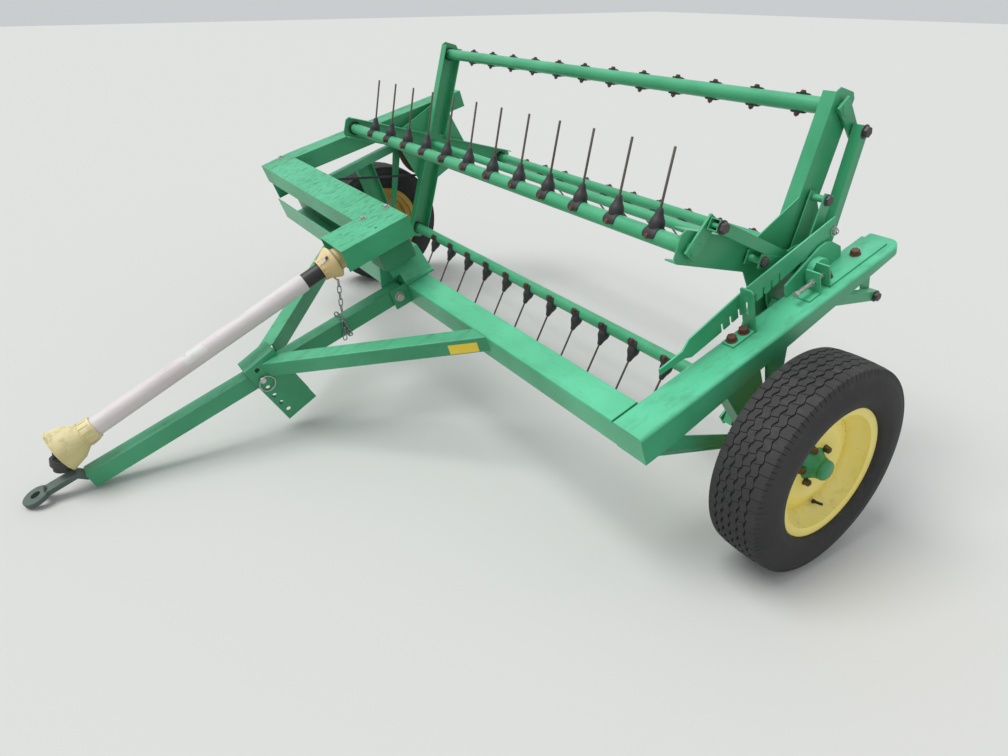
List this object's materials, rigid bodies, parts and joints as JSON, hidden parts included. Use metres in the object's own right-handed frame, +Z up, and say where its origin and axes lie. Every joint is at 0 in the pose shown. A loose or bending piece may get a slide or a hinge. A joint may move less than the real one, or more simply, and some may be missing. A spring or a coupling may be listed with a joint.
{
  "type": "trailed reel hay tedder",
  "caption": "Trailed hay tedder: two pneumatic wheels, offset drawbar with hitch eye, shielded driveline, belt-driven cross reel with feathering bars of rubber-booted tines.",
  "frame": {"origin": "centre of the overall box on the ground plane", "axes": "+X to the machine's left across its width, +Y to the rear, against its travel, +Z up"},
  "size_m": [3.2197, 2.9108, 1.3255],
  "materials": {
    "paint_green": "satin",
    "rim_yellow": "matt",
    "tyre": "matt",
    "boot_rubber": "matt",
    "rusty_steel": "rough",
    "zinc": "satin",
    "shield_yellow": "matt",
    "tube_black": "satin",
    "tube_pale": "matt",
    "belt": "matt",
    "cast_dark": "satin",
    "galvanised": "satin"
  },
  "bodies": {
    "frame": {"bearing_left": "paint_green", "bearing_right": "paint_green", "belt_adjuster": "paint_green", "belt_guard": "paint_green", "brace_left": "paint_green", "brace_right": "paint_green", "chain_turn": "galvanised", "cross_channel": "paint_green", "drawbar": "paint_green", "drawbar_lug": "paint_green", "front_beam": "paint_green", "gearbox": "cast_dark", "gearbox_cover": "paint_green", "gearbox_mount": "paint_green", "guard_stands": "paint_green", "height_pin": "zinc", "height_plates": "paint_green", "hitch_eye": "paint_green", "leg_brace_left": "paint_green", "lever_bracket": "paint_green", "pitch_lever": "paint_green", "shaft_cover": "paint_green", "side_beam_left": "paint_green", "side_rail_right": "paint_green", "v_belt": "belt", "wheel_leg_left": "paint_green", "wheel_leg_right": "paint_green"},
    "wheel_left": {"tyre_left": "tyre", "rim_left": "rim_yellow", "hub_left": "paint_green"},
    "wheel_right": {"tyre_right": "tyre", "rim_right": "rim_yellow", "hub_right": "paint_green"},
    "reel": {"reel_shaft": "rusty_steel", "driven_pulley": "rusty_steel", "spider_right": "paint_green", "spider_left": "paint_green", "tine_bar_top": "paint_green", "tine_bar_front": "paint_green", "tine_bar_bottom": "paint_green", "tine_bar_rear": "paint_green", "tines_top": "boot_rubber", "tines_front": "boot_rubber", "tines_bottom": "boot_rubber", "tines_rear": "boot_rubber", "cranks": "paint_green", "links": "paint_green", "eccentric_hub": "paint_green", "hub_stays": "paint_green"},
    "drive_shaft": {"drive_shaft": "rusty_steel", "drive_pulley": "rusty_steel"},
    "driveline_inner": {"cross_joint": "cast_dark", "rear_shield": "shield_yellow", "inner_tube": "tube_black", "chain_hang": "galvanised"},
    "driveline_outer": {"outer_tube": "tube_pale", "front_shield": "shield_yellow", "front_fork": "cast_dark"},
    "front_yoke": {"front_yoke": "cast_dark"}
  },
  "joints": [
    {"name": "wheel_left_spin", "type": "hinge", "parent": "frame", "child": "wheel_left", "pos_m": [1.5072, 0.57844, 0.34], "axis": [1, 0, 0], "continuous": true},
    {"name": "wheel_right_spin", "type": "hinge", "parent": "frame", "child": "wheel_right", "pos_m": [-1.5075, 0.57844, 0.34], "axis": [1, 0, 0], "continuous": true},
    {"name": "reel_spin", "type": "hinge", "parent": "frame", "child": "reel", "pos_m": [0, 0.82303, 0.80829], "axis": [1, 0, 0], "continuous": true},
    {"name": "drive_shaft_spin", "type": "hinge", "parent": "frame", "child": "drive_shaft", "pos_m": [-1.3, -0.0031, 0.73326], "axis": [1, 0, 0], "continuous": true},
    {"name": "driveline_pitch", "type": "hinge", "parent": "frame", "child": "driveline_inner", "pos_m": [-0.105, -0.20627, 0.66289], "axis": [-1, 0, 0], "range_deg": [0, 10]},
    {"name": "driveline_slide", "type": "slide", "parent": "driveline_inner", "child": "driveline_outer", "axis": [0, 0.9094, 0.4158], "range_m": [0, 0.07]},
    {"name": "front_yoke_swing", "type": "hinge", "parent": "driveline_outer", "child": "front_yoke", "pos_m": [-0.105, -1.29213, 0.16637], "axis": [-1, 0, 0], "range_deg": [0, 90]}
  ],
  "couplings": [
    {"joint": "drive_shaft_spin", "follows": "reel_spin", "ratio": 3.72}
  ]
}
